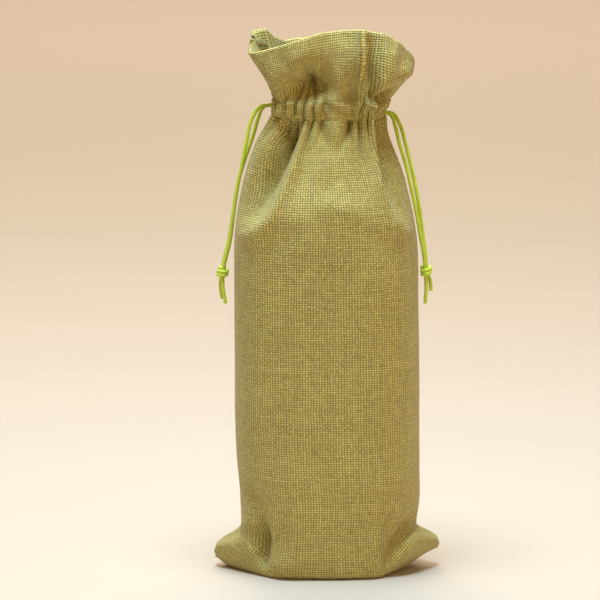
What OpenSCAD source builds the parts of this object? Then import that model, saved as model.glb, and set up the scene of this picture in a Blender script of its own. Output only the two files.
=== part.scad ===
// Drawstring pouch for one 750 ml bottle: two panels of coarse plain-weave cloth sewn
// together at the sides and the bottom, a turned-in heading with a casing, and two cords
// that gather the neck. +X is to the right seen from the front, -Y the front, +Z up.
// The origin is on the ground under the middle of the bag.

/* [Bag] */
// Height from the ground to the edge of the heading
bag_h = 316; // [290:1:380]
// Width of the filled body
body_w = 107; // [94:1:130]
// Depth of the filled body
body_d = 81; // [74:1:98]
// Height at which the body starts to draw in towards the neck
shoulder_z = 192; // [150:1:205]
// How sharply the shoulder curves: 1 is a straight cone
shoulder_curve = 1.6; // [1:0.1:2.2]

/* [Base] */
// Distance between the tips of the two bottom corners
ear_w = 134; // [124:1:160]
// Height of the corner tips above the ground
ear_lift = 6; // [4:0.5:12]
// Height at which a corner has run into the side
ear_top = 25; // [18:1:40]
// Radius between the floor of the bag and its front and back
base_r = 14; // [8:1:20]

/* [Neck and heading] */
// Width of the gathered neck
neck_w = 66; // [58:1:80]
// Depth of the gathered neck
neck_d = 44; // [40:1:52]
// Height of the lower stitch row of the casing
casing_z = 264; // [240:1:272]
// Height of the casing, from stitch row to stitch row
casing_h = 13; // [11:0.5:18]
// Room between the two layers of cloth in the casing
casing_gap = 3.4; // [2.8:0.1:5]
// How far the turned-in cloth runs on below the lower stitch row
hem_under = 3; // [2:0.5:6]
// Width across the edge of the heading
rim_w = 98; // [84:1:116]
// Depth across the edge of the heading
rim_d = 66; // [56:1:80]
// How far the folds of the heading stand in and out at its edge
fold_depth = 3.5; // [1:0.5:5]
// Number of folds round the heading
fold_count = 12; // [8:2:16]

/* [Cloth] */
// Thickness of the cloth
cloth_t = 0.8; // [0.6:0.1:1.2]
// Width of the sewn edges inside the side seams
seam_w = 7; // [5:0.5:10]
// Clearance of what lies against the cloth
cloth_clear = 0.15; // [0.1:0.05:0.3]

/* [Stitching] */
// Thickness of the sewing thread
thread_d = 0.5; // [0.3:0.1:0.8]
// Length of one stitch
stitch_len = 2.8; // [2:0.2:3.6]
// Distance from one stitch to the next
stitch_pitch = 3.9; // [3.7:0.1:5]

/* [Cords] */
// Diameter of the cords
cord_d = 2.2; // [1.6:0.1:2.4]
// Distance between the middles of the two strands that leave by one opening
strand_gap = 3.2; // [2.6:0.1:3.6]
// Clearance between the strands and the edges of the opening
opening_clear = 0.6; // [0.4:0.1:1]
// Height between the two cords in the casing
cord_step = 4.4; // [3:0.1:6]
// Radius of the turns of a knot
knot_turn_r = 2.5; // [2.2:0.1:3.4]
// Height of the stacked turns of a knot
knot_h = 7; // [6:0.5:9]

/* [Hidden] */

cloth_green = [0.60, 0.58, 0.33];
seam_green = [0.52, 0.50, 0.27];
thread_green = [0.66, 0.66, 0.42];
cord_lime = [0.75, 0.83, 0.26];

half_w = body_w / 2;
half_d = body_d / 2;
neck_x = neck_w / 2;
neck_y = neck_d / 2;
neck_bend_x = neck_x - neck_y;
casing_top = casing_z + casing_h;
hem_z = casing_z - hem_under;
casing_mid = (casing_z + casing_top) / 2;
layer_gap = 0.4;
casing_ease = 2;
opening_half = (strand_gap + cord_d) / 2 + opening_clear;

// Shape steps: rows up the cloth and columns across one panel
base_steps = 6;
wall_steps = 4;
shoulder_steps = 4;
heading_steps = 4;
columns = 30;

// Share of the width from the middle over which the floor is flat
flat_share = 0.6;
ear_tip_inset = [-1.6, 0.1];
// How the corners run into the sides: 1 is straight, 2 a deep curve
ear_curve = 1.5;

function blend(a, b, t) = a + (b - a) * t;
function unit(v) = v / norm(v);

// A row is [half width, side height, half depth, middle height, inward direction at the
// middle (y, z), inward direction at the side (x, z), fold, straightness, layer gap, opening]
function ear_inward(s) =
    let (dx = ear_curve * (ear_w / 2 - half_w) * (1 - s) ^ (ear_curve - 1))
    s == 0 ? ear_tip_inset : unit([ear_lift - ear_top, -dx]);

function base_row(s) =
    let (turn = max(0, s - 0.5) * 180)
    let (run = half_d - base_r)
    [half_w + (ear_w / 2 - half_w) * (1 - s) ^ ear_curve, blend(ear_lift, ear_top, s),
     min(s / 0.5, 1) * run + base_r * sin(turn), base_r * (1 - cos(turn)),
     [-sin(turn), cos(turn)], ear_inward(s), 0, 0, layer_gap, 0];

function level_row(x, y, z, fold, straight, gap, opening) =
    [x, z, y, z, [-1, 0], [-1, 0], fold, straight, gap, opening];

function wall_row(s) =
    [half_w, blend(ear_top, shoulder_z, s), half_d, blend(base_r, shoulder_z, s),
     [-1, 0], [-1, 0], 0, 0, layer_gap, 0];

function shoulder_row(z) =
    let (s = (z - shoulder_z) / (casing_z - shoulder_z))
    let (drawn = s ^ shoulder_curve)
    level_row(blend(half_w, neck_x, drawn), blend(half_d, neck_y, drawn), z, 0, s, layer_gap, 0);

function casing_row(z, gap, opening) = level_row(neck_x, neck_y, z, 0, 1, gap, opening);

function heading_row(s) =
    level_row(blend(neck_x, rim_w / 2, s), blend(neck_y, rim_d / 2, s),
              blend(casing_top, bag_h, s), fold_depth * s, 1 - s, layer_gap, 0);

rows = concat(
    [for (k = [0:base_steps]) base_row(k / base_steps)],
    [for (k = [1:wall_steps]) wall_row(k / wall_steps)],
    [for (k = [1:shoulder_steps]) shoulder_row(blend(shoulder_z, hem_z, k / (shoulder_steps + 1)))],
    [shoulder_row(hem_z)],
    [casing_row(casing_z, layer_gap, 0)],
    [casing_row(casing_z + casing_ease, casing_gap, opening_half)],
    [casing_row(casing_top - casing_ease, casing_gap, opening_half)],
    [casing_row(casing_top, layer_gap, 0)],
    [for (k = [1:heading_steps]) heading_row(k / heading_steps)]);

row_count = len(rows);
hem_row = base_steps + wall_steps + shoulder_steps + 1;
heading_first = hem_row + 4;
hem_rows = row_count - hem_row;

// Outline of a racetrack-shaped section: two half circles joined by straight sides
function racetrack(r, bend_x, a) =
    a < 60 ? [bend_x + r * cos(1.5 * a), r * sin(1.5 * a)] :
    a <= 120 ? [bend_x * (90 - a) / 30, r] :
    [r * cos(1.5 * a - 90) - bend_x, r * sin(1.5 * a - 90)];

// Share of the corner lift that a place across the bag takes
function ear_share(a) = max(0, (abs(cos(a)) - flat_share) / (1 - flat_share)) ^ 2;

// Point of the cloth on a row, at the angle a across, this far in from the outer face
function cloth_point(row, a, depth, drop) =
    let (x = row[0] + depth * row[5][0])
    let (y = row[2] + depth * row[4][0])
    let (oval = [x * cos(a), y * sin(a)])
    let (track = racetrack(y, row[0] - row[2], a))
    let (ripple = 1 - row[6] / max(row[2], neck_y) * cos(fold_count * a))
    let (place = blend(oval, track, row[7]) * ripple)
    let (lift = blend(row[3] + depth * row[4][1], row[1] + depth * row[5][1], ear_share(a)))
    [place[0], place[1], lift - drop];

// Angle across the bag of a column, drawn in where the casing opens at the side seams
function column_angle(row, j) =
    let (start = row[9] == 0 ? 0 : asin(row[9] / row[2]) / 1.5)
    blend(start, 180 - start, j / columns);

function hem_outer_depth(row) = cloth_t + row[8];
function hem_inner_depth(row) = 2 * cloth_t + row[8];

// One column of the panel: up the outside, over the edge, down the turned-in cloth,
// back up its other face and down the inside of the panel
function column_points(j) =
    let (last = row_count - 1)
    concat(
        [for (k = [0:last]) cloth_point(rows[k], column_angle(rows[k], j), 0, 0)],
        [for (k = [last:-1:hem_row])
            cloth_point(rows[k], column_angle(rows[k], j), hem_inner_depth(rows[k]), 0)],
        [for (k = [hem_row:last])
            cloth_point(rows[k], column_angle(rows[k], j), hem_outer_depth(rows[k]),
                        k == last ? cloth_t : 0)],
        [for (k = [last:-1:0])
            cloth_point(rows[k], column_angle(rows[k], j), cloth_t, k == last ? cloth_t : 0)]);

ring_size = 2 * row_count + 2 * hem_rows;
function outside(k) = k;
function hem_inside(k) = 2 * row_count - 1 - k;
function hem_outside(k) = row_count + hem_rows + k - hem_row;
function inside(k) = ring_size - 1 - k;

function two_triangles(a, b, c, d) = [[a, b, c], [a, c, d]];
function turned(faces) = [for (f = faces) [f[2], f[1], f[0]]];

// The end of the panel at a side seam, as strips between the faces of each layer
function end_faces() =
    let (last = row_count - 1)
    concat(
        [for (k = [0:last - 1]) each
            two_triangles(outside(k), outside(k + 1), inside(k + 1), inside(k))],
        two_triangles(outside(last), hem_inside(last), hem_outside(last), inside(last)),
        [for (k = [hem_row:last - 1]) each
            two_triangles(hem_inside(k + 1), hem_inside(k), hem_outside(k), hem_outside(k + 1))]);

function shifted(faces, by) = [for (f = faces) [for (i = f) i + by]];

module panel() {
    points = [for (j = [0:columns]) each column_points(j)];
    skin = [for (j = [0:columns - 1]) for (i = [0:ring_size - 1]) each
        let (a = j * ring_size)
        let (next = (i + 1) % ring_size)
        two_triangles(a + i, a + next, a + ring_size + next, a + ring_size + i)];
    polyhedron(points, concat(skin, turned(end_faces()),
                              shifted(end_faces(), columns * ring_size)), convexity = 12);
}

module front_panel() {
    color(cloth_green) mirror([0, 1, 0]) panel();
}

module back_panel() {
    color(cloth_green) panel();
}

// A sewn pair of cut edges standing inside a seam, as an outline in X and Z
module sewn_edges(outer_line) {
    inner_line = [for (i = [len(outer_line) - 1:-1:0]) outer_line[i] - [seam_w, 0]];
    rotate([90, 0, 0])
        linear_extrude(height = 2 * cloth_t, center = true)
            polygon(concat(outer_line, inner_line));
}

module side_seam() {
    line = [for (k = [base_steps:hem_row])
        [rows[k][0] - cloth_t - cloth_clear, rows[k][1] - (k == hem_row ? hem_under : 0)]];
    sewn_edges(line);
}

module heading_seam() {
    top_drop = cloth_t + cloth_clear;
    line = [for (k = [heading_first + 1:row_count - 1])
        [cloth_point(rows[k], 0, hem_inner_depth(rows[k]), 0)[0] - cloth_clear,
         rows[k][1] - (k == row_count - 1 ? top_drop : 0)]];
    sewn_edges(line);
}

module left_side_seam() {
    color(seam_green) mirror([1, 0, 0]) side_seam();
}

module right_side_seam() {
    color(seam_green) side_seam();
}

module left_heading_seam() {
    color(seam_green) mirror([1, 0, 0]) heading_seam();
}

module right_heading_seam() {
    color(seam_green) heading_seam();
}

// The sewn edges of the bottom seam, folded flat on the floor of the bag
module bottom_seam() {
    length = flat_share * ear_w - seam_w;
    color(seam_green)
        translate([-length / 2, cloth_clear, cloth_t + cloth_clear])
            cube([length, seam_w, 2 * cloth_t]);
}

// Place and direction of a length measured along the racetrack of the neck
straight_len = 2 * neck_bend_x;
bend_len = PI * neck_y;
track_len = 2 * (straight_len + bend_len);

module on_neck_track(s) {
    turn = 180 / bend_len;
    if (s < straight_len)
        translate([s - neck_bend_x, -neck_y, 0]) children();
    else if (s < straight_len + bend_len)
        translate([neck_bend_x, 0, 0])
            rotate((s - straight_len) * turn)
                translate([0, -neck_y, 0]) children();
    else if (s < 2 * straight_len + bend_len)
        translate([neck_bend_x - (s - straight_len - bend_len), neck_y, 0])
            rotate(180) children();
    else
        translate([-neck_bend_x, 0, 0])
            rotate(180 + (s - 2 * straight_len - bend_len) * turn)
                translate([0, -neck_y, 0]) children();
}

// A row of stitches round the neck, each lying on the outer face of the cloth
module stitch_row(z) {
    count = floor(track_len / stitch_pitch);
    for (i = [0:count - 1])
        on_neck_track((i + 0.5) * track_len / count)
            translate([0, -cloth_clear - thread_d / 2, z])
                rotate([0, 90, 0])
                    cylinder(h = stitch_len, d = thread_d, center = true, $fn = 16);
}

module lower_casing_stitches() {
    color(thread_green) stitch_row(casing_z);
}

module upper_casing_stitches() {
    color(thread_green) stitch_row(casing_top);
}

// Where the strands leave the casing
exit_x = neck_x + 1;
left_exit_z = casing_mid + cord_step / 2;
right_exit_z = casing_mid - cord_step / 2;
casing_bend_steps = 5;

// Line of one cord where the casing hides it: all round the neck and out at the -X opening
function casing_line(z) =
    let (r = neck_y - cloth_t - casing_gap / 2)
    let (half_gap = strand_gap / 2)
    let (start = asin(half_gap / r))
    let (quarter = [for (k = [0:casing_bend_steps]) start + (90 - start) * k / casing_bend_steps])
    let (half = [for (k = [0:2 * casing_bend_steps]) 90 * k / casing_bend_steps - 90])
    concat(
        [[-exit_x, -half_gap, z]],
        [for (a = quarter) [-neck_bend_x - r * cos(a), -r * sin(a), z]],
        [for (a = half) [neck_bend_x + r * cos(a), r * sin(a), z]],
        [for (k = [casing_bend_steps:-1:0])
            [-neck_bend_x - r * cos(quarter[k]), r * sin(quarter[k]), z]],
        [[-exit_x, half_gap, z]]);

// Routes of the four strands, from the opening of the casing through the knot to the tail
left_front_route = [[-34, -1.6, 272.7], [-38.5, -1.8, 272], [-43.5, -3, 265], [-46.5, -4, 253],
                    [-49, -4.5, 240], [-52, -4.5, 225], [-54.5, -4, 208], [-56.5, -3, 193],
                    [-59, -2, 183], [-60.5, -1.3, 175], [-60.5, -2, 166], [-59, -3, 157]];
left_back_route = [[-34, 1.6, 272.7], [-37, 1.8, 271.2], [-40, 2, 264.5], [-42.8, 1.6, 255],
                   [-47, 0.6, 243], [-51.5, -0.5, 228], [-54.5, -0.5, 210], [-57, 0.5, 194],
                   [-59.5, 1, 184], [-61, 1.3, 175], [-62, 2, 167], [-61, 3, 159]];
left_knot_at = [-60.75, 0, 175];
right_front_route = [[34, -1.6, 268.3], [36.7, -2.2, 267.3], [39.3, -4.5, 261], [41.8, -6.5, 251],
                     [45.5, -8, 239], [48.5, -9, 226], [51.5, -9.5, 212], [54, -9.5, 198],
                     [56, -9, 187], [57, -8.3, 177], [57.5, -8.5, 168], [57, -9, 158]];
right_back_route = [[34, 1.6, 268.3], [38, 1.4, 267.6], [42.2, -0.5, 261], [45.2, -2.5, 251],
                    [48.3, -4, 239], [51.2, -5, 226], [53.7, -5.5, 212], [55.5, -5.5, 198],
                    [57, -5.5, 187], [58, -5.7, 177], [60, -5.5, 170], [60.5, -5, 165]];
right_knot_at = [57.5, -7, 177];

strand_steps = 2;
cord_sides = 8;

// Point on a smooth curve through the route, between its points i and i + 1
function route_point(route, i, t) =
    let (last = len(route) - 1)
    let (a = route[i])
    let (b = route[i + 1])
    let (before = i == 0 ? [2 * a[0] - b[0], b[1], b[2]] : route[i - 1])
    let (after = i + 2 > last ? 2 * b - a : route[i + 2])
    0.5 * (2 * a + (b - before) * t + (2 * before - 5 * a + 4 * b - after) * t ^ 2
           + (3 * a - before - 3 * b + after) * t ^ 3);

function smooth_route(route) =
    concat([for (i = [0:len(route) - 2]) for (k = [0:strand_steps - 1])
                route_point(route, i, k / strand_steps)],
           [route[len(route) - 1]]);

// Ring of the tube round one point of its line; square_to is never along the line
function cord_ring(line, i, first_way, square_to) =
    let (last = len(line) - 1)
    let (along = i == 0 ? first_way : unit(line[min(i + 1, last)] - line[i - 1]))
    let (across = unit(cross(along, square_to)))
    let (other = cross(along, across))
    [for (k = [0:cord_sides - 1])
        let (a = 360 * (k + 0.5) / cord_sides)
        line[i] + cord_d / 2 * (across * cos(a) + other * sin(a))];

module cord(line, first_way, square_to) {
    last = (len(line) - 1) * cord_sides;
    points = [for (i = [0:len(line) - 1]) each cord_ring(line, i, first_way, square_to)];
    walls = [for (i = [0:len(line) - 2]) for (k = [0:cord_sides - 1]) each
        let (a = i * cord_sides)
        let (next = (k + 1) % cord_sides)
        two_triangles(a + k, a + cord_sides + k, a + cord_sides + next, a + next)];
    start = [for (k = [1:cord_sides - 2]) [0, k, k + 1]];
    end = [for (k = [1:cord_sides - 2]) [last, last + k + 1, last + k]];
    polyhedron(points, concat(walls, start, end), convexity = 6);
}

module cord_in_casing(z) {
    color(cord_lime) cord(casing_line(z), [1, 0, 0], [0, 0, 1]);
}

module left_cord_in_casing() {
    cord_in_casing(left_exit_z);
}

module right_cord_in_casing() {
    mirror([1, 0, 0]) cord_in_casing(right_exit_z);
}

module strand(route) {
    way_out = [sign(route[0][0]), 0, 0];
    color(cord_lime) cord(smooth_route(route), way_out, [0, 1, 0]);
}

// An overhand knot tied in both strands: three turns round a core
module knot(place, lean) {
    turn_gap = (knot_h - cord_d) / 2;
    translate(place)
        rotate([0, lean, 0]) {
            cylinder(h = knot_h - cord_d, r = knot_turn_r, center = true, $fn = 32);
            for (level = [-1, 0, 1])
                translate([0, 0, level * turn_gap])
                    rotate_extrude($fn = 32)
                        translate([knot_turn_r + (level == 0 ? 0.3 : 0), 0])
                            circle(d = cord_d, $fn = 24);
        }
}

module left_front_strand() {
    strand(left_front_route);
}

module left_back_strand() {
    strand(left_back_route);
}

module left_knot() {
    color(cord_lime) knot(left_knot_at, 12);
}

module right_front_strand() {
    strand(right_front_route);
}

module right_back_strand() {
    strand(right_back_route);
}

module right_knot() {
    color(cord_lime) knot(right_knot_at, -8);
}

front_panel();
back_panel();
left_side_seam();
right_side_seam();
left_heading_seam();
right_heading_seam();
bottom_seam();
lower_casing_stitches();
upper_casing_stitches();
left_cord_in_casing();
right_cord_in_casing();
left_front_strand();
left_back_strand();
left_knot();
right_front_strand();
right_back_strand();
right_knot();
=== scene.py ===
import math

import bmesh
import bpy
import numpy as np
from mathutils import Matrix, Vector


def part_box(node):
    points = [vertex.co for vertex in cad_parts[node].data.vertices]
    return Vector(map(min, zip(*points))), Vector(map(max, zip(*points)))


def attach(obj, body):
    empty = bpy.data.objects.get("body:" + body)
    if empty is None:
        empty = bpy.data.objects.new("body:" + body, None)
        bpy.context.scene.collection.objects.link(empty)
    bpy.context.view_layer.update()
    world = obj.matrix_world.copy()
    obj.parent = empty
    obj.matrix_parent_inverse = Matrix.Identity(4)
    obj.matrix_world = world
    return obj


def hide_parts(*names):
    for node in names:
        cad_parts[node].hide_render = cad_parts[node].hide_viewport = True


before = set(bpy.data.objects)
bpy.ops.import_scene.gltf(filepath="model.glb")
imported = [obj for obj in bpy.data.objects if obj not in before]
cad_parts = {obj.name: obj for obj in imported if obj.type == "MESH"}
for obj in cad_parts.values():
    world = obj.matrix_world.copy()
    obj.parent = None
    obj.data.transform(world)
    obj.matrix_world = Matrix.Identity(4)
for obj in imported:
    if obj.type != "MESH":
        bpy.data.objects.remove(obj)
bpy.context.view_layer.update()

MM = 0.001
FRONT, BACK = -1, 1


# ---------------------------------------------------------------- sizes from the frame

lower_low, lower_high = (Vector(c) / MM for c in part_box("lower_casing_stitches"))
upper_low, upper_high = (Vector(c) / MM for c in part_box("upper_casing_stitches"))

# The lower stitches are drawn this far above the place that the CAD gives them
ride_up = 2.5
casing_low = (lower_low.z + lower_high.z) / 2 + ride_up
casing_high = (upper_low.z + upper_high.z) / 2

# The flat cut of one panel, after sewing, and the thickness of the cloth
flat_width = 150.0
cloth_thickness = 0.7


# ---------------------------------------------------------------- camera

camera_distance = 2.3
camera_height = 0.535
camera_lens = 240.0
aim = Vector((-0.0157, 0.0, 0.1585))

camera_data = bpy.data.cameras.new("studio_camera")
camera_data.lens = camera_lens
camera_data.sensor_width = 36.0
camera_data.clip_end = 20.0
camera = bpy.data.objects.new("studio_camera", camera_data)
camera.location = (aim.x, -camera_distance, camera_height)
camera.rotation_euler = (aim - camera.location).to_track_quat("-Z", "Y").to_euler()
bpy.context.scene.collection.objects.link(camera)
bpy.context.scene.camera = camera


# ---------------------------------------------------------------- helpers

def link(obj):
    bpy.context.scene.collection.objects.link(obj)
    return obj


def mesh_object(name, bm, material):
    mesh = bpy.data.meshes.new(name)
    bm.to_mesh(mesh)
    bm.free()
    for polygon in mesh.polygons:
        polygon.use_smooth = True
    mesh.materials.append(material)
    return link(bpy.data.objects.new(name, mesh))


def smoothstep(edge_a, edge_b, value):
    share = np.clip((value - edge_a) / (edge_b - edge_a), 0.0, 1.0)
    return share * share * (3.0 - 2.0 * share)


# ---------------------------------------------------------------- materials

class Nodes:
    """A short way to write a node tree: each call makes one node and returns its output."""

    def __init__(self, name):
        self.material = bpy.data.materials.new(name)
        self.material.use_nodes = True
        self.tree = self.material.node_tree
        self.tree.nodes.clear()

    def make(self, kind, inputs=(), out=0, **settings):
        node = self.tree.nodes.new(kind)
        for key, value in settings.items():
            setattr(node, key, value)
        for key, value in dict(inputs).items():
            if isinstance(value, bpy.types.NodeSocket):
                self.tree.links.new(value, node.inputs[key])
            else:
                node.inputs[key].default_value = value
        return node.outputs[out]

    def math(self, operation, a, b=0.0, c=0.0):
        return self.make("ShaderNodeMath", {0: a, 1: b, 2: c}, operation=operation)

    def finish(self, shader):
        output = self.tree.nodes.new("ShaderNodeOutputMaterial")
        self.tree.links.new(shader, output.inputs["Surface"])
        return self.material


def woven_cloth(name, light, dark, gap, warp_pitch=1.53, weft_pitch=1.38):
    """Coarse plain weave laid along the cloth's own UV map, whose unit is one metre. The low places
    between the threads are mixed towards the gap colour as painted shade.
    """
    thread_wander, crossing_rise = 0.0011, 0.55
    n = Nodes(name)
    uv = n.make("ShaderNodeTexCoord", out="UV")
    wander = n.make("ShaderNodeTexNoise", {"Vector": uv, "Scale": 70.0, "Detail": 2.0}, out="Color")
    shift = n.make("ShaderNodeVectorMath", {0: wander, 1: (0.5, 0.5, 0.5)}, operation="SUBTRACT")
    shifted = n.make("ShaderNodeVectorMath", {0: shift, 1: (thread_wander, thread_wander, 0.0), 2: uv},
                     operation="MULTIPLY_ADD")
    parts = n.make("ShaderNodeSeparateXYZ", {0: shifted})
    node = parts.node
    across = n.math("MULTIPLY", node.outputs[0], 1.0 / (warp_pitch * MM))
    along = n.math("MULTIPLY", node.outputs[1], 1.0 / (weft_pitch * MM))
    warp_number = n.math("FLOOR", across)
    weft_number = n.math("FLOOR", along)

    def thread_round(position):
        centre = n.math("SUBTRACT", n.math("FRACT", position), 0.5)
        return n.math("COSINE", n.math("MULTIPLY", centre, math.pi))

    crossing = n.math("MULTIPLY", n.math("SINE", n.math("MULTIPLY", across, math.pi)),
                      n.math("SINE", n.math("MULTIPLY", along, math.pi)))
    warp_round = n.math("MULTIPLY_ADD", thread_round(across), 0.78, 0.17)
    warp_height = n.math("MULTIPLY_ADD", crossing, crossing_rise, warp_round)
    weft_height = n.math("MULTIPLY_ADD", crossing, -crossing_rise, thread_round(along))
    height = n.math("MAXIMUM", warp_height, weft_height)
    warp_on_top = n.math("GREATER_THAN", warp_height, weft_height)

    def thread_tone(number, run, seed, offset):
        one = n.make("ShaderNodeTexWhiteNoise", {"W": n.math("ADD", number, seed)},
                     noise_dimensions="1D")
        place = n.make("ShaderNodeCombineXYZ", {0: n.math("MULTIPLY", number, 7.31),
                                                1: n.math("MULTIPLY", run, 0.33), 2: seed})
        slub = n.make("ShaderNodeTexNoise", {"Vector": place, "Scale": 1.0, "Detail": 1.0}, out=0)
        return n.math("ADD", n.math("MULTIPLY", one, 0.26), n.math("MULTIPLY_ADD", slub, 1.7, offset))

    tone = n.make("ShaderNodeMix", {0: warp_on_top,
                                    2: thread_tone(weft_number, across, 3.7, -0.53),
                                    3: thread_tone(warp_number, along, 11.3, -0.42)}, data_type="FLOAT")
    patches = n.make("ShaderNodeTexNoise", {"Vector": uv, "Scale": 26.0, "Detail": 2.0}, out=0)
    tone = n.math("ADD", tone, n.math("MULTIPLY_ADD", patches, 0.5, -0.25))
    thread_colour = n.make("ShaderNodeMix", {0: tone, 6: dark, 7: light},
                           data_type="RGBA", out=2)
    # painted shade: by thread height, the low places between the threads are mixed towards the dark gap
    # colour
    depth = n.make("ShaderNodeMapRange", {0: height, 1: 0.42, 2: 1.12, 3: 0.0, 4: 1.0}, out=0)
    colour = n.make("ShaderNodeMix", {0: depth, 6: gap, 7: thread_colour},
                    data_type="RGBA", out=2)
    fibre = n.make("ShaderNodeTexNoise", {"Vector": uv, "Scale": 2600.0, "Detail": 2.0}, out=0)
    relief = n.math("MULTIPLY_ADD", fibre, 0.25, height)
    bump = n.make("ShaderNodeBump", {"Height": relief, "Strength": 0.75, "Distance": 0.00038})
    shader = n.make("ShaderNodeBsdfPrincipled", {"Base Color": colour, "Normal": bump,
                                                 "Roughness": 0.62, "Sheen Weight": 0.18,
                                                 "Sheen Roughness": 0.5,
                                                 "Specular IOR Level": 0.6})
    return n.finish(shader)


def cord_material(name, light, dark):
    """Smooth braided cord: a fine diagonal braid over a bright, slightly shiny fibre."""
    n = Nodes(name)
    place = n.make("ShaderNodeTexCoord", out="Object")
    fine = n.make("ShaderNodeTexNoise", {"Vector": place, "Scale": 1500.0, "Detail": 2.0}, out=0)
    broad = n.make("ShaderNodeTexNoise", {"Vector": place, "Scale": 160.0, "Detail": 1.0}, out=0)
    braid = n.make("ShaderNodeTexWave", {"Vector": place, "Scale": 420.0, "Distortion": 2.0},
                   out=1, bands_direction="DIAGONAL")
    tone = n.math("ADD", n.math("MULTIPLY", fine, 0.4), n.math("MULTIPLY", broad, 0.6))
    colour = n.make("ShaderNodeMix", {0: tone, 6: dark, 7: light}, data_type="RGBA", out=2)
    relief = n.math("ADD", n.math("MULTIPLY", braid, 0.5), fine)
    bump = n.make("ShaderNodeBump", {"Height": relief, "Strength": 0.35, "Distance": 0.00015})
    shader = n.make("ShaderNodeBsdfPrincipled", {"Base Color": colour, "Normal": bump,
                                                 "Roughness": 0.5, "Sheen Weight": 0.2,
                                                 "Subsurface Weight": 0.15,
                                                 "Subsurface Scale": 0.002})
    return n.finish(shader)


def thread_material(name, light, dark):
    """Two-ply sewing thread: a fine twist over a matt fibre."""
    n = Nodes(name)
    place = n.make("ShaderNodeTexCoord", out="Object")
    fine = n.make("ShaderNodeTexNoise", {"Vector": place, "Scale": 2400.0, "Detail": 2.0}, out=0)
    colour = n.make("ShaderNodeMix", {0: fine, 6: dark, 7: light}, data_type="RGBA", out=2)
    bump = n.make("ShaderNodeBump", {"Height": fine, "Strength": 0.4, "Distance": 0.0001})
    shader = n.make("ShaderNodeBsdfPrincipled", {"Base Color": colour, "Normal": bump,
                                                 "Roughness": 0.7, "Sheen Weight": 0.2})
    return n.finish(shader)


def plain_floor(name, colour):
    n = Nodes(name)
    place = n.make("ShaderNodeTexCoord", out="Object")
    soft = n.make("ShaderNodeTexNoise", {"Vector": place, "Scale": 3.0, "Detail": 1.0}, out=0)
    rough = n.math("MULTIPLY_ADD", soft, 0.1, 0.7)
    shader = n.make("ShaderNodeBsdfPrincipled", {"Base Color": colour, "Roughness": rough})
    return n.finish(shader)


# the gap colours are painted shade for the low places between the threads
sage_linen = woven_cloth("sage_linen", light=(0.74, 0.625, 0.180, 1), dark=(0.40, 0.308, 0.060, 1),
                         gap=(0.12, 0.090, 0.016, 1))
overlocked_edge = woven_cloth("overlocked_edge", light=(0.50, 0.43, 0.14, 1),
                              dark=(0.26, 0.21, 0.05, 1), gap=(0.10, 0.08, 0.015, 1),
                              warp_pitch=1.1, weft_pitch=2.4)
lime_cord = cord_material("lime_cord", light=(0.72, 0.86, 0.07, 1), dark=(0.42, 0.56, 0.02, 1))
sage_thread = thread_material("sage_thread", light=(0.62, 0.60, 0.30, 1),
                              dark=(0.36, 0.35, 0.14, 1))
pale_floor = plain_floor("pale_floor", (0.58, 0.49, 0.41, 1))


# ---------------------------------------------------------------- cords and knots

cord_diameter = 2.2

left_front_route = [(-34, -1.6, 272.7), (-38.5, -1.8, 272), (-43.5, -3, 265), (-46.5, -4, 253),
                    (-49, -4.5, 240), (-52, -4.5, 225), (-54.5, -4, 208), (-56.5, -3, 193),
                    (-59, -2, 183), (-60.5, -1.3, 175), (-60.5, -2, 166), (-59, -3, 157)]
left_back_route = [(-34, 1.6, 272.7), (-37, 1.8, 271.2), (-40, 2, 264.5), (-42.8, 1.6, 255),
                   (-47, 0.6, 243), (-51.5, -0.5, 228), (-54.5, -0.5, 210), (-57, 0.5, 194),
                   (-59.5, 1, 184), (-61, 1.3, 175), (-62, 2, 167), (-61, 3, 159)]
left_knot_at = (-60.75, 0, 175)
right_front_route = [(34, -1.6, 268.3), (36.7, -2.2, 267.3), (39.3, -4.5, 261),
                     (41.8, -6.5, 251), (45.5, -8, 239), (48.5, -9, 226), (51.5, -9.5, 212),
                     (54, -9.5, 198), (56, -9, 187), (57, -8.3, 177), (57.5, -8.5, 168),
                     (57, -9, 158)]
right_back_route = [(34, 1.6, 268.3), (38, 1.4, 267.6), (42.2, -0.5, 261), (45.2, -2.5, 251),
                    (48.3, -4, 239), (51.2, -5, 226), (53.7, -5.5, 212), (55.5, -5.5, 198),
                    (57, -5.5, 187), (58, -5.7, 177), (60, -5.5, 170), (60.5, -5, 165)]
right_knot_at = (57.5, -7, 177)


def curve_object(name, points, diameter, material):
    """A round cord along the points, in millimetres, as one smooth open spline."""
    data = bpy.data.curves.new(name, "CURVE")
    data.dimensions = "3D"
    data.bevel_depth = diameter / 2 * MM
    data.bevel_resolution = 4
    data.resolution_u = 8
    data.use_fill_caps = True
    spline = data.splines.new("BEZIER")
    spline.bezier_points.add(len(points) - 1)
    for bezier, point in zip(spline.bezier_points, points):
        bezier.co = Vector(point) * MM
        bezier.handle_left_type = bezier.handle_right_type = "AUTO"
    data.materials.append(material)
    return link(bpy.data.objects.new(name, data))


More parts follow.
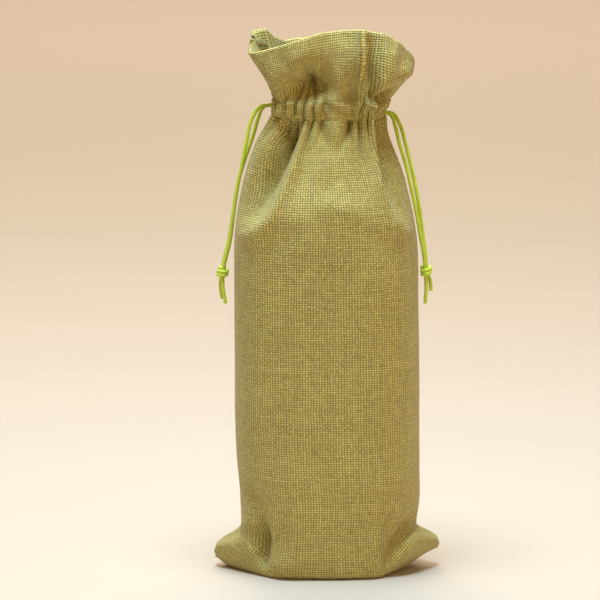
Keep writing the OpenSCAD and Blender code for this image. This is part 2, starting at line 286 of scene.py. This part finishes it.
def tied_knot(name, centre, lean, body, node):
    """An overhand knot pulled tight: a strand turns three times round the others and tucks in."""
    turns, turn_radius, rise = 2.6, 2.55, 5.2
    steps, first_angle, tilt = 34, 0.6, 0.5
    tucked_share, tucked_radius = 0.12, 0.35
    points = []
    for i in range(steps):
        share = i / (steps - 1)
        angle = share * turns * 2 * math.pi + first_angle
        tuck = min(share, 1 - share) / tucked_share
        radius = turn_radius * min(1.0, tucked_radius + (1 - tucked_radius) * tuck)
        height = (share - 0.5) * rise + tilt * math.sin(angle)
        points.append(Vector((radius * math.cos(angle), radius * math.sin(angle), height)))
    turn = Vector((0, 0, 1)).rotation_difference(Vector(lean)).to_matrix()
    placed = [turn @ p + Vector(centre) for p in points]
    knot = curve_object(name, placed, cord_diameter, lime_cord)
    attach(knot, body)
    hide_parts(node)
    return knot


def hanging_strand(name, route, body, node):
    strand = curve_object(name, route, cord_diameter, lime_cord)
    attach(strand, body)
    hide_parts(node)
    return strand


left_tied = tied_knot("left_tied_knot", left_knot_at, (0.2, 0.1, 1), "left_pull", "left_knot")
right_tied = tied_knot("right_tied_knot", right_knot_at, (-0.15, 0.1, 1), "right_pull",
                       "right_knot")
hanging_strand("left_front_cord", left_front_route, "left_pull", "left_front_strand")
hanging_strand("left_back_cord", left_back_route, "left_pull", "left_back_strand")
hanging_strand("right_front_cord", right_front_route, "right_pull", "right_front_strand")
hanging_strand("right_back_cord", right_back_route, "right_pull", "right_back_strand")
for hidden in ("left_cord_in_casing", "right_cord_in_casing"):
    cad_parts[hidden].data.materials.clear()
    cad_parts[hidden].data.materials.append(lime_cord)


# ---------------------------------------------------------------- the shape of the filled bag

# Height, half width or half depth, all in millimetres on the outer face
side_left = [(21, 50.3), (28, 49.6), (45, 50.8), (70, 52.8), (100, 53.5), (192, 53.3), (208, 52.0),
             (220, 50.0), (232, 47.3), (240, 45.0), (252, 39.8), (260, 34.0),
             (casing_low, 30.4)]
side_right = [(24, 52.3), (30, 52.2), (38, 54.5), (60, 54.2), (120, 53.7), (192, 52.5), (208, 50.0),
              (220, 47.0), (232, 44.2), (245, 39.4), (256, 34.8), (casing_low, 32.4)]
middle_front = [(5, 39.6), (14, 40.0), (40, 40.5), (206, 40.3), (214, 39.6), (222, 37.2), (236, 32.6),
                (250, 27.8), (casing_low, 23.2)]
middle_back = [(5, 39.6), (14, 39.8), (40, 40.3), (204, 40.0), (212, 39.2), (222, 36.6), (236, 32.2),
               (250, 27.6), (casing_low, 23.2)]

# The rim of the heading from the left seam to the right: share of the cloth's width, then place
front_rim = [(-1.00, -44.6, 3.0, 311.0), (-0.95, -45.0, -1.0, 307.6), (-0.885, -45.4, -7.4, 302.6),
             (-0.72, -37.0, -16.0, 305.0), (-0.52, -27.0, -24.0, 308.5), (-0.32, -15.5, -28.5, 312.6),
             (-0.12, -3.5, -25.5, 316.0), (0.08, 7.0, -25.0, 317.4), (0.25, 15.5, -28.0, 318.2),
             (0.34, 19.8, -31.0, 318.2), (0.44, 25.0, -22.5, 317.0), (0.58, 33.5, -20.0, 315.0),
             (0.74, 41.5, -13.5, 309.6), (0.88, 48.2, -6.5, 302.4), (1.00, 51.0, 0.0, 296.5)]
back_rim = [(-1.00, -44.6, 3.0, 311.0), (-0.945, -44.0, 8.0, 313.6), (-0.86, -36.2, 10.8, 315.2),
            (-0.83, -34.0, 13.0, 310.8), (-0.75, -30.5, 18.5, 308.6), (-0.60, -26.5, 22.0, 307.2),
            (-0.40, -17.5, 27.5, 308.0), (-0.15, -5.0, 24.0, 309.2), (0.08, 6.5, 28.5, 310.0),
            (0.30, 17.5, 23.5, 309.0), (0.52, 29.5, 26.0, 308.0), (0.74, 40.0, 17.0, 305.5),
            (0.88, 47.5, 9.0, 301.0), (1.00, 51.0, 0.0, 296.5)]

# The side seam's path round each lower corner: share of the way up from the tip, out, height
left_corner = [(0.0, 65.8, 5.0), (0.15, 66.8, 9.0), (0.35, 64.8, 13.4), (0.6, 60.0, 16.6),
               (0.85, 54.0, 19.0), (1.0, 50.3, 21.5)]
right_corner = [(0.0, 65.6, 10.5), (0.15, 66.9, 13.4), (0.35, 65.4, 17.2), (0.6, 60.8, 19.6),
                (0.85, 55.6, 21.4), (1.0, 52.3, 24.0)]

base_round = 5.0
wall_starts = 30.0
columns = 168

# How square a section is: 2 is an ellipse, more is nearer a rectangle
tip_square, foot_square, body_square, casing_square = 3.3, 2.2, 2.65, 2.35
body_starts, neck_starts = 60.0, 200.0

# Heights between the rows of points: closer round the foot and from the shoulder up
close_rows, wide_rows = 1.6, 2.4
shoulder_starts, gathers_start = 190.0, 252.0

# How fast the heading spreads above the casing, and how much faster it does so to the right
spread_power, spread_lean = 1.35, 0.45
# How far the heading bellies between the casing and the rim, and the plainer back's share of it
belly, belly_low, belly_round, back_belly = 4.6, 1.25, 1.4, 0.6

# The casing's half widths on its left and right, how far it spreads to the right at its top,
# and the openings in the side seams where the cords come out
casing_left = 29.6
casing_right = 32.4
casing_flare = 2.6
opening_half = 2.6
opening_height = 2.6
casing_half_depth = 23.4


def along(points, height, ease=5.0):
    """The value at a height, with the corners between the listed heights rounded off."""
    heights, values = zip(*points)
    near = height + np.linspace(-ease, ease, 9)
    return float(np.interp(near, heights, values).mean())


def smooth_through(points, places):
    """Values of a smooth curve through the points, each a place followed by its values."""
    table = np.array(points)
    dense = np.linspace(table[0, 0], table[-1, 0], 400)
    softness = 15
    kernel = np.hanning(softness)
    kernel /= kernel.sum()
    result = []
    for column in table.T[1:]:
        values = np.interp(dense, table[:, 0], column)
        padded = np.pad(values, softness // 2, mode="reflect", reflect_type="odd")
        result.append(np.interp(places, dense, np.convolve(padded, kernel, "valid")))
    return result


shares = np.linspace(-1.0, 1.0, columns + 1)


def section(side, left, right, depth, squareness, left_z, right_z, middle_z,
            left_rise=0.5, right_rise=0.5):
    """One row of points at equal spacing along the cloth, from the left seam to the right."""
    turn = np.linspace(0.0, math.pi, 721)
    across = np.abs(np.cos(turn)) ** (2 / squareness)
    x = np.where(turn < math.pi / 2, -left, right) * across
    y = side * depth * np.sin(turn) ** (2 / squareness)
    side_z = np.where(turn < math.pi / 2, left_z, right_z)
    rise = np.where(turn < math.pi / 2, left_rise, right_rise)
    z = middle_z + (side_z - middle_z) * smoothstep(rise, 1.0, across)
    line = np.stack([x, y, z], axis=1)
    steps = np.linalg.norm(np.diff(line, axis=0), axis=1)
    path = np.concatenate([[0.0], np.cumsum(steps)])
    at = (shares + 1) / 2 * path[-1]
    return np.stack([np.interp(at, path, line[:, k]) for k in range(3)], axis=1)


def body_rows(side):
    """Rows from the bottom seam along the ground, up the wall and in to the casing."""
    middle = middle_front if side == FRONT else middle_back
    depth = middle[0][1]
    run = depth - base_round
    bend = base_round * math.pi / 2
    rows = []
    ground_rows = 30
    for i in range(ground_rows):
        share = i / ground_rows
        path = share * (run + bend)
        turn = max(0.0, (path - run) / base_round)
        y = min(path, run) + base_round * math.sin(turn)
        z = base_round * (1 - math.cos(turn))
        left, left_z = (float(v) for v in smooth_through(left_corner, share))
        right, right_z = (float(v) for v in smooth_through(right_corner, share))
        square = tip_square - (tip_square - foot_square) * share
        rows.append(section(side, left, right, max(y, 0.4), square,
                            left_z, right_z, z + 0.5, 0.86 - 0.3 * share, 0.66 - 0.16 * share))
    heights = np.concatenate([np.arange(base_round, wall_starts, close_rows),
                              np.arange(wall_starts, shoulder_starts, wide_rows),
                              np.arange(shoulder_starts, gathers_start, close_rows),
                              np.linspace(gathers_start, casing_low, 13)[:-1]])
    for z in heights:
        low = max(0.0, 1.0 - (z - base_round) / (wall_starts - base_round))
        left_z = z + low * (left_corner[-1][2] - base_round)
        right_z = z + low * (right_corner[-1][2] - base_round)
        squared = float(smoothstep(base_round, body_starts, z))
        eased = float(smoothstep(neck_starts, casing_low, z))
        square = foot_square + (body_square - foot_square) * squared
        square -= (body_square - casing_square) * eased
        rows.append(section(side, along(side_left, left_z), along(side_right, right_z),
                            along(middle, z), square, left_z, right_z, z, 0.56, 0.5))
    return rows


def heading_rows(side):
    """Rows of the casing and of the flared heading up to its rim."""
    rows = []
    casing_rows = 15
    for i in range(casing_rows):
        z = casing_low + (casing_high - casing_low) * i / casing_rows
        right = casing_right + casing_flare * float(smoothstep(casing_high - 6, casing_high, z))
        rows.append(section(side, casing_left, right, casing_half_depth, casing_square, z, z, z))
    start = section(side, casing_left, casing_right + casing_flare, casing_half_depth,
                    casing_square, casing_high, casing_high, casing_high)
    rim = np.stack(smooth_through(front_rim if side == FRONT else back_rim, shares), axis=1)
    heading_count = 38
    for i in range(heading_count + 1):
        share = i / heading_count
        flare = (1 - (1 - share) ** (spread_power + spread_lean * shares))[:, None]
        row = start * (1 - flare) + rim * flare
        swell = belly * math.sin(math.pi * share ** belly_low) ** belly_round * (1 - shares ** 2)
        row[:, 1] += side * swell * (1.0 if side == FRONT else back_belly)
        row[:, 2] = start[:, 2] * (1 - share) + rim[:, 2] * share
        rows.append(row)
    return rows


def outward(points, side):
    """Unit normals of a grid of points, away from the inside of the bag."""
    normals = np.cross(np.gradient(points, axis=1), np.gradient(points, axis=0)) * -side
    return normals / np.maximum(np.linalg.norm(normals, axis=2, keepdims=True), 1e-9)


# ---------------------------------------------------------------- folds

def fold(x, z, line, width, power=2.0, lean=0.0):
    """A fold along a line of (x, z, height): round where power is 2, sharper where it is less."""
    total = np.zeros_like(x)
    nearest = np.full_like(x, 1e9)
    for (ax, az, ah), (bx, bz, bh) in zip(line, line[1:]):
        dx, dz = bx - ax, bz - az
        share = np.clip(((x - ax) * dx + (z - az) * dz) / (dx * dx + dz * dz), 0.0, 1.0)
        off_x, off_z = x - ax - share * dx, z - az - share * dz
        gap = np.hypot(off_x, off_z)
        turned = np.sign(off_x * dz - off_z * dx)
        spread = width * (1 + lean * turned)
        height = (ah + (bh - ah) * share) * np.exp(-(gap / spread) ** power)
        total = np.where(gap < nearest, height, total)
        nearest = np.minimum(gap, nearest)
    return total


front_folds = [
    # below the casing
    (((-19, 266, -9.0), (-22, 259, -15.5), (-27, 246, -12.0), (-37, 226, -7.0), (-45, 208, 0)),
     5.8, 2.0, 0),
    (((-28, 252, 0), (-36, 234, -4.6), (-43, 217, -4.6), (-49, 200, 0)), 8.0, 2.2, 0),
    (((-31, 273, 3.0), (-22, 269.5, 6.5), (-15, 269, 2.0)), 3.0, 2.0, 0),
    (((-12, 271, 1.0), (-15.0, 258, 3.4), (-20, 238, 3.8), (-30, 214, 2.0), (-36, 203, 0)),
     3.6, 1.25, 0.3),
    (((-28, 268, 1.5), (-35, 253, 2.6), (-44, 234, 2.2), (-50, 212, 0)), 4.0, 1.7, 0),
    (((-4.5, 268, -3.0), (-3, 260, -2.8), (1, 250, -1.2), (4, 242, 0)), 3.2, 1.5, 0),
    (((14, 267, -6.5), (12.5, 261, -5.5), (9, 253, -1.8), (5, 246, 0)), 2.6, 1.5, 0),
    (((5, 266, 1.0), (4.5, 258, 1.2), (4, 252, 0)), 3.5, 2.0, 0),
    (((20.5, 276, 2.0), (24, 268, 4.0), (27, 250, 5.6), (30, 231, 4.0), (36, 216, 2.0), (42, 200, 0)),
     3.6, 1.15, -0.35),
    (((29.5, 266, -7.0), (32.5, 248, -10.0), (37.5, 231, -9.0), (44, 208, 0)), 5.4, 1.8, 0),
    (((18, 264, -2.0), (19, 250, -3.0), (20, 234, -1.6), (22, 218, 0)), 3.6, 1.8, 0),
    (((-9, 263, -1.6), (-12, 248, -2.4), (-15, 232, -1.4), (-17, 220, 0)), 3.2, 1.8, 0),
    (((39, 256, 1.4), (43, 243, 2.0), (47, 228, 1.2), (50, 215, 0)), 3.6, 1.8, 0),
    (((-24, 236, 0), (-33, 214, 1.2), (-38, 203, 1.6), (-40, 190, 0)), 5.0, 1.6, 0.2),
    # breaks of the shoulder
    (((-52, 205, 0.8), (-46, 201, 2.0), (-36, 207, 1.6), (-26, 214, 0)), 5.0, 1.6, 0),
    (((-14, 216, 0), (-2, 219, 1.6), (12, 217, 1.8), (24, 212, 0)), 6.0, 1.7, 0),
    (((34, 213, 0), (43, 203, 1.9), (50, 201, 1.0)), 4.6, 1.6, 0),
    (((-40, 192, 0), (-22, 202, -1.0), (-8, 206, 0)), 6.0, 1.8, 0),
    (((20, 205, 0), (32, 198, -1.2), (44, 186, 0)), 6.0, 1.8, 0),
    (((-2, 238, 0), (2, 230, -1.2), (6, 226, 0)), 9.0, 2.0, 0),
    # the lower corners and the foot
    (((-36, 46, 0), (-37.5, 34, -4.0), (-36.5, 22, -10.0), (-37, 12, -8.0), (-37, 4, -1)),
     4.4, 1.6, 0.3),
    (((-48, 24, 4.0), (-44, 19, 4.6), (-42, 13, 2.6)), 4.6, 2.0, 0),
    (((-54, 52, -3.0), (-45, 48, -4.2), (-38, 45, -2.0)), 7.0, 2.0, 0),
    (((-50, 33, 2.0), (-45, 31, 2.6)), 5.0, 2.0, 0),
    (((-30, 20, 0), (-27, 9, 3.2), (-27, 2, 4.4)), 6.5, 2.0, 0),
    (((-17.5, 76, 0), (-17.5, 46, 2.0), (-17, 14, 3.4), (-17, 2, 2.6)), 5.5, 1.0, 0.35),
    (((57, 42, -1.5), (48, 33, -4.0), (39, 21, -5.0), (34, 10, -3.2), (32, 4, -0.6)),
     3.6, 1.3, -0.3),
    (((55, 24, 2.8), (48, 19, 4.0), (41, 11, 2.6)), 5.2, 2.0, 0),
    (((31, 34, 0), (26, 18, 1.6), (25, 6, 1.6)), 6.0, 1.6, 0),
    (((-50, 82, 0), (-40, 70, -1.0), (-30, 52, 0)), 6.0, 1.8, 0),
    (((52, 70, 0), (40, 58, 0.9), (30, 48, 0)), 6.0, 1.8, 0),
]
heading_front_folds = [
    (((-12, 277, -5.5), (-12, 283, -12.0), (-8, 292, -9.5), (-2, 302, -3.8), (4, 312, -0.6)),
     9.5, 2.6, 0),
    (((18.8, 277, 2.0), (19.0, 286, 5.2), (19.2, 300, 6.0), (19.4, 318, 3.6)), 2.8, 1.0, 0.6),
    (((23.4, 278, -5.0), (24.2, 288, -9.6), (25.6, 303, -9.4), (27, 318, -5.0)), 4.2, 2.0, 0),
    (((23.5, 278, 1.6), (31, 290, 3.8), (37, 304, 3.2), (41, 314, 0.4)), 4.4, 1.8, 0),
    (((29, 277, -6.0), (36, 281, -7.5), (42, 286, -2.4)), 4.4, 1.9, 0),
    (((29, 285, 2.0), (37, 290, 5.0), (44, 294, 5.0), (47, 299, 1.5)), 6.0, 2.0, 0),
    (((-18, 281, -5.0), (-9, 283, -7.5), (1, 285, -3.0)), 4.2, 2.2, 0),
    (((-17, 268, 2.0), (-24, 278, 4.6), (-32, 289, 4.2), (-39, 299, 2.0)), 4.0, 1.4, 0.3),
    (((-28.5, 275, -6.5), (-34, 282, -7.5), (-41, 291, -3.4)), 4.4, 1.8, 0),
    (((-22, 290, -1.0), (-26, 300, -1.8), (-28, 307, -0.8)), 4.5, 2.0, 0),
    (((4, 280, 1.6), (7, 290, 1.4), (8, 300, 0)), 4.0, 2.0, 0),
    (((12, 277, -2.8), (13, 286, -2.0), (13, 296, 0)), 2.8, 1.6, 0),
]
front_valleys = [-1.0, -0.86, -0.73, -0.58, -0.445, -0.33, -0.21, -0.09, 0.29, 0.40, 0.50, 0.62,
                 0.73, 0.86, 1.0]
front_heights = [2.6, 3.1, 2.8, 3.3, 3.0, 3.0, 2.8, 1.4, 2.8, 3.4, 3.0, 3.2, 2.9, 2.6]

# Where the gathers roll over at the foot of the heading: place across, height
front_foot = [(-34, 273.5), (-24, 275), (-18, 277), (-13, 279.5), (-8.5, 276.8), (-5, 277.5),
              (-1, 279.2), (4, 276), (9, 274.8), (13, 273.6), (17, 276), (21, 276.5),
              (25, 274.2), (29, 275.2), (34, 273.5)]
back_foot = [(-34, 274), (-25, 276), (-19, 274.2), (-12, 276.8), (-5, 274.4), (2, 277),
             (9, 274.6), (16, 276.4), (24, 274.4), (34, 274)]

dice = np.random.default_rng(41)


def loose_folds(count, low, high, reach, strength):
    """Folds that run down from the casing and spread, for the side that hangs more plainly."""
    made = []
    for k in range(count):
        x = -30 + 60 * (k + 0.5) / count + dice.uniform(-2, 2)
        end = x * (1.5 + dice.uniform(0, 0.25)) + dice.uniform(-3, 3)
        bottom = low + dice.uniform(-8, 10)
        height = strength * dice.uniform(0.7, 1.25) * (1 if k % 2 else -1)
        mid_x, mid_z = x + (end - x) * 0.42, high - (high - bottom) * 0.5
        made.append((((x, high, height), (mid_x, mid_z, height * 0.85), (end, bottom, 0)),
                     reach * dice.uniform(0.8, 1.3), 1.7, dice.uniform(-0.3, 0.3)))
    return made


back_folds = loose_folds(13, 214.0, 266.0, 3.4, 3.4) + [
    (((-50, 204, 0.5), (-40, 201, 1.2), (-28, 209, 0)), 4.5, 1.6, 0),
    (((-14, 214, 0), (2, 216, 1.2), (18, 213, 0)), 5.0, 1.8, 0),
    (((34, 210, 0), (44, 202, 1.2), (50, 200, 0.4)), 4.5, 1.6, 0),
    (((37, 44, 0), (38, 36, -2.4), (36, 22, -3.2), (38, 8, -2.0)), 3.2, 1.4, 0.3),
    (((46, 24, 3.0), (43, 15, 2.6)), 5.0, 2.0, 0),
    (((-54, 40, -1.4), (-46, 32, -2.6), (-38, 20, -2.6), (-33, 8, -1.4)), 3.6, 1.4, -0.3),
    (((-52, 24, 2.5), (-46, 16, 2.8)), 5.0, 2.0, 0),
    (((12, 64, 0), (13, 36, -0.9), (12, 6, -0.9)), 4.0, 1.5, 0),
]
heading_back_folds = [
    (((-26, 279, -3.0), (-29, 292, -3.4), (-31, 309, -1.5)), 4.6, 1.8, 0),
    (((-17, 278, 2.0), (-18, 292, 2.6), (-18, 310, 1.5)), 3.6, 1.4, 0.2),
    (((-6, 279, -2.6), (-5, 292, -3.6), (-5, 309, -1.5)), 5.0, 1.9, 0),
    (((6, 278, 1.8), (7, 292, 2.4), (7, 311, 1.4)), 3.4, 1.4, -0.2),
    (((16, 279, -2.8), (18, 292, -3.0), (18, 310, -1.2)), 4.6, 1.9, 0),
    (((26, 278, 2.2), (29, 292, 2.6), (30, 309, 1.2)), 3.8, 1.5, 0),
    (((32, 278, -2.4), (38, 290, -2.6), (41, 304, -1.0)), 4.2, 1.8, 0),
]
back_valleys = [-1.0] + [-1 + 2 * (k + dice.uniform(-0.22, 0.22)) / 13 for k in range(1, 13)] + [1.0]
back_heights = [dice.uniform(2.4, 3.4) for _ in range(13)]


def puckers(valleys, heights, z):
    """The tight gathers of the casing: round ridges between narrow valleys, dying out unevenly."""
    number = np.clip(np.searchsorted(valleys, shares, side="right") - 1, 0, len(heights) - 1)
    edges = np.array(valleys)
    share = (shares - edges[number]) / (edges[number + 1] - edges[number])
    valley_share, ridge_gain = 0.42, 1.7
    ridge = 1 - np.abs(2 * share - 1) ** 2.0 - valley_share
    ridge = np.where(ridge > 0, ridge_gain * ridge, ridge)
    height = np.array(heights)[number]
    wander = np.array([0.6 + 0.4 * math.sin(2.4 * k + 1) for k in range(len(heights))])[number]
    # How far each gather runs below and above the casing, and how suddenly it ends
    below = 6 + 13 * wander
    above = 5 + 9 * (1 - wander)
    ending = 1.6
    fade = np.where(z < casing_low, np.exp(-(np.maximum(casing_low - z, 0) / below) ** ending),
                    np.exp(-(np.maximum(z - casing_high, 0) / above) ** ending))
    return ridge * height * fade


def lumps(x, z, seed, size_x, size_z):
    """Smooth uneven swelling of hanging cloth, from a few waves in seeded directions."""
    pick = np.random.default_rng(seed)
    total = np.zeros_like(x)
    waves = 14
    for _ in range(waves):
        a, b, phase = pick.normal(), pick.normal(), pick.uniform(0, 2 * math.pi)
        total += np.sin(x / size_x * a + z / size_z * b + phase)
    return total / waves


# Heights of the swelling, the roll at the ruffle's foot and the grooves of the stitch rows
broad_swell, fine_swell = 0.9, 0.35
foot_roll, foot_roll_spread = 1.7, 2.2
lower_groove, upper_groove, groove_spread = 0.8, 0.4, 1.1
# How deep a valley may go over the cords in the casing, which still show through a few of
# them, and the seam's own dip
cord_room = 1.2
seam_dip = 1.2
half_seam_gap = 0.35
# The band beside a side seam, as a share of the half width, where folds die down, and what
# stays of them at the seam and on the ground
seam_band, seam_keeps, ground_keeps = 0.08, 0.25, 0.15
# The space between a panel and its turned-in layer, and what the cords add to it in the casing
layer_gap, tunnel_room = 1.5, 3.4


def panel_points(side):
    """The outer face of one panel: the plain filled shape, then its folds laid on it."""
    lower = body_rows(side)
    upper = heading_rows(side)
    points = np.array(lower + upper)
    casing_row = len(lower)
    normals = outward(points, side)
    x, z = points[..., 0], points[..., 2]
    lift = np.zeros_like(x)
    below = smoothstep(casing_high - 2, casing_low - 1, z)
    above = smoothstep(casing_low + 8, casing_high + 3, z)
    facing = np.clip(np.abs(normals[..., 1]) * 1.6, 0, 1)
    lower_set = front_folds if side == FRONT else back_folds
    upper_set = heading_front_folds if side == FRONT else heading_back_folds
    near_ground = smoothstep(1.0, 10.0, z)
    for line, width, power, lean in lower_set:
        lift += fold(x, z, line, width, power, lean) * facing * np.minimum(below + 0.12, 1)
    for line, width, power, lean in upper_set:
        lift += fold(x, z, line, width, power, lean) * facing * np.maximum(above, 0.0)
    valleys = front_valleys if side == FRONT else back_valleys
    heights = front_heights if side == FRONT else back_heights
    calm_sides = 1 - 0.6 * shares ** 6
    lift += puckers(valleys, heights, z) * calm_sides
    lift += broad_swell * lumps(x, z, 5 + side, 16.0, 42.0) * smoothstep(20.0, 60.0, z)
    lift += fine_swell * lumps(x, z, 9 + side, 6.0, 14.0)
    ruffle_foot = np.interp(x, *zip(*(front_foot if side == FRONT else back_foot)))
    roll = np.exp(-((z - ruffle_foot) / foot_roll_spread) ** 2)
    lift += foot_roll * roll * (1 - 0.8 * shares ** 4)
    lift -= lower_groove * np.exp(-((z - casing_low) / groove_spread) ** 2)
    lift -= upper_groove * np.exp(-((z - casing_high) / groove_spread) ** 2)
    tunnel = smoothstep(casing_low - 0.8, casing_low + 0.4, z)
    tunnel = tunnel * smoothstep(casing_high - 1.2, casing_high - 2.8, z)
    no_limit = 20.0
    lift = np.maximum(lift, -cord_room - no_limit * (1 - tunnel))
    edge = np.minimum(1 - np.abs(shares), seam_band) / seam_band
    calm_seams = seam_keeps + (1 - seam_keeps) * edge
    lift = lift * calm_seams * (ground_keeps + (1 - ground_keeps) * near_ground)
    lift -= seam_dip * (1 - edge) ** 2
    gathers = puckers(valleys, heights, z) * calm_sides * calm_seams
    plain = points + normals * (lift - gathers)[..., None]
    points = points + normals * lift[..., None]
    away = np.maximum(side * points[..., 1], half_seam_gap)
    exit_z = np.where(x < 0, left_front_route[0][2], right_front_route[0][2])
    opening = opening_half * np.exp(-((points[..., 2] - exit_z) / opening_height) ** 4)
    points[..., 1] = side * np.hypot(away, opening)
    points[..., 2] = np.maximum(points[..., 2], cloth_thickness * 0.5)
    return points, plain, casing_row


def panel_object(name, side):
    """One panel of cloth with its heading folded over at the rim and turned in to the casing."""
    points, plain, casing_row = panel_points(side)
    normals = outward(points, side)
    z = plain[..., 2]
    tunnel = smoothstep(casing_low - 3, casing_low + 3, z)
    tunnel = tunnel * smoothstep(casing_high + 12, casing_high - 2, z)
    lining = plain - outward(plain, side) * (layer_gap + tunnel_room * tunnel)[..., None]
    turned = lining[casing_row - 3:-1][::-1]
    crest = points[-1] - normals[-1] * layer_gap * 0.5 + np.array([0.0, 0.0, 0.65])
    inner_top = points[-1] - normals[-1] * layer_gap
    grid = np.concatenate([points, crest[None], inner_top[None], turned])
    rows = grid.shape[0]
    middle = grid[:, columns // 4:-columns // 4:8]
    step = np.linalg.norm(np.diff(middle, axis=0), axis=2).mean(axis=1)
    path = np.concatenate([[0.0], np.cumsum(step)])
    bm = bmesh.new()
    bmesh.ops.create_grid(bm, x_segments=columns, y_segments=rows - 1, size=1.0)
    bm.verts.ensure_lookup_table()
    uv_layer = bm.loops.layers.uv.new("cloth")
    flat = grid.reshape(-1, 3) * MM
    for vert, place in zip(bm.verts, flat):
        vert.co = place
    width = columns + 1
    for face in bm.faces:
        for loop in face.loops:
            row, column = divmod(loop.vert.index, width)
            loop[uv_layer].uv = (shares[column] * flat_width / 2 * MM, path[row] * MM)
    if side == BACK:
        bmesh.ops.reverse_faces(bm, faces=bm.faces[:])
    panel = mesh_object(name, bm, sage_linen)
    thick = panel.modifiers.new("cloth_thickness", "SOLIDIFY")
    thick.thickness = cloth_thickness * MM
    thick.offset = 0.0
    return panel, points


front_cloth, front_points = panel_object("front_cloth", FRONT)
back_cloth, back_points = panel_object("back_cloth", BACK)
for panel, node in ((front_cloth, "front_panel"), (back_cloth, "back_panel")):
    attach(panel, "bag")
    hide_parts(node)


# ---------------------------------------------------------------- seams

# The overlocked edges: where they start inside the seam, their width, their two layers'
# thickness, and the height and step of their waviness
seam_start, seam_width, seam_thickness = 0.6, 6.4, 1.2
seam_wave, wave_step = 0.45, 1.1


def strip(name, edge, inward, nodes):
    """The two raw edges of the panels, overlocked together, standing inward from a seam."""
    across = 6
    bm = bmesh.new()
    bmesh.ops.create_grid(bm, x_segments=across, y_segments=len(edge) - 1, size=1.0)
    bm.verts.ensure_lookup_table()
    uv_layer = bm.loops.layers.uv.new("cloth")
    for index, vert in enumerate(bm.verts):
        row, column = divmod(index, across + 1)
        wave = seam_wave * math.sin(row * wave_step) * column / across
        reach = seam_start + seam_width * column / across
        vert.co = (edge[row] + inward[row] * reach + np.array([0, wave, 0])) * MM
    for face in bm.faces:
        for loop in face.loops:
            row, column = divmod(loop.vert.index, across + 1)
            loop[uv_layer].uv = (column * 1.1 * MM, row * 1.5 * MM)
    made = mesh_object(name, bm, overlocked_edge)
    thick = made.modifiers.new("two_layers", "SOLIDIFY")
    thick.thickness = seam_thickness * MM
    thick.offset = 0.0
    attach(made, "bag")
    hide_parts(*nodes)
    return made


corner_rows, first_row = 26, 10
for word, column, nodes in (("left", 0, ("left_side_seam", "left_heading_seam")),
                            ("right", -1, ("right_side_seam", "right_heading_seam"))):
    edge = (front_points[:, column] + back_points[:, column]) / 2
    inward = np.zeros_like(edge)
    inward[:, 0] = 1.0 if column == 0 else -1.0
    inward[:corner_rows, 2] = 0.3
    strip(word + "_seam_edges", edge[first_row::2], inward[first_row::2], nodes)
bottom_edge = (front_points[0] + back_points[0]) / 2
bottom_inward = np.zeros_like(bottom_edge)
bottom_inward[:, 1] = 0.75
bottom_inward[:, 2] = 0.35
kept, off_ground = slice(14, -14, 3), 0.6
strip("bottom_seam_edges", bottom_edge[kept] + np.array([0, 0, off_ground]), bottom_inward[kept],
      ("bottom_seam",))


# ---------------------------------------------------------------- stitches

stitch_length = 2.8
stitch_pitch = 3.9
stitch_margin = 6.0
thread_radius = 0.26
thread_lift = 0.1


def stitch_row(name, height, node):
    """Lengths of thread laid on the gathers along one side of the casing."""
    data = bpy.data.curves.new(name, "CURVE")
    data.dimensions = "3D"
    data.bevel_depth = thread_radius * MM
    data.bevel_resolution = 2
    for side, points in ((FRONT, front_points), (BACK, back_points)):
        row = int(np.argmin(np.abs(points[:, columns // 2, 2] - height)))
        normals = outward(points, side)[row]
        line = points[row] + normals * (cloth_thickness / 2 + thread_lift)
        steps = np.linalg.norm(np.diff(line, axis=0), axis=1)
        path = np.concatenate([[0.0], np.cumsum(steps)])
        start = stitch_margin
        while start + stitch_length < path[-1] - stitch_margin:
            at = np.linspace(start, start + stitch_length, 5)
            places = np.stack([np.interp(at, path, line[:, k]) for k in range(3)], axis=1)
            spline = data.splines.new("POLY")
            spline.points.add(4)
            for point, place in zip(spline.points, places):
                point.co = (*(place * MM), 1.0)
            start += stitch_pitch
    data.materials.append(sage_thread)
    made = link(bpy.data.objects.new(name, data))
    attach(made, "bag")
    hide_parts(node)
    return made


stitch_row("lower_stitches", casing_low, "lower_casing_stitches")
stitch_row("upper_stitches", casing_high, "upper_casing_stitches")


# ---------------------------------------------------------------- floor and light

bm = bmesh.new()
bmesh.ops.create_grid(bm, x_segments=1, y_segments=1, size=14.0)
floor = mesh_object("studio_floor", bm, pale_floor)


def area_light(name, place, target, size, power, colour):
    data = bpy.data.lights.new(name, "AREA")
    data.shape = "DISK"
    data.size = size
    data.energy = power
    data.color = colour
    light = link(bpy.data.objects.new(name, data))
    light.location = place
    light.rotation_euler = (Vector(target) - light.location).to_track_quat("-Z", "Y").to_euler()


area_light("overhead", (-0.05, -0.16, 1.35), (0.0, 0.0, 0.2), 0.6, 26.0, (0.66, 0.87, 1.0))
area_light("right_fill", (1.5, -1.5, 0.4), (0.0, 0.0, 0.15), 1.0, 10.0, (1.0, 0.67, 0.28))
area_light("left_fill", (-1.6, -1.2, 0.4), (0.0, 0.0, 0.15), 1.0, 2.6, (1.0, 0.68, 0.30))
area_light("back_fill", (-0.3, 1.0, 1.4), (0.0, 0.0, 0.15), 0.8, 6.0, (1.0, 0.84, 0.64))
area_light("floor_wash", (0.0, 3.4, 3.0), (0.0, 3.4, 0.0), 4.0, 130.0, (1.0, 0.90, 0.76))

world = bpy.data.worlds.new("studio")
world.use_nodes = True
world.node_tree.nodes["Background"].inputs["Color"].default_value = (1.0, 0.78, 0.50, 1)
world.node_tree.nodes["Background"].inputs["Strength"].default_value = 0.30
bpy.context.scene.world = world
bpy.context.scene.view_settings.view_transform = "Standard"
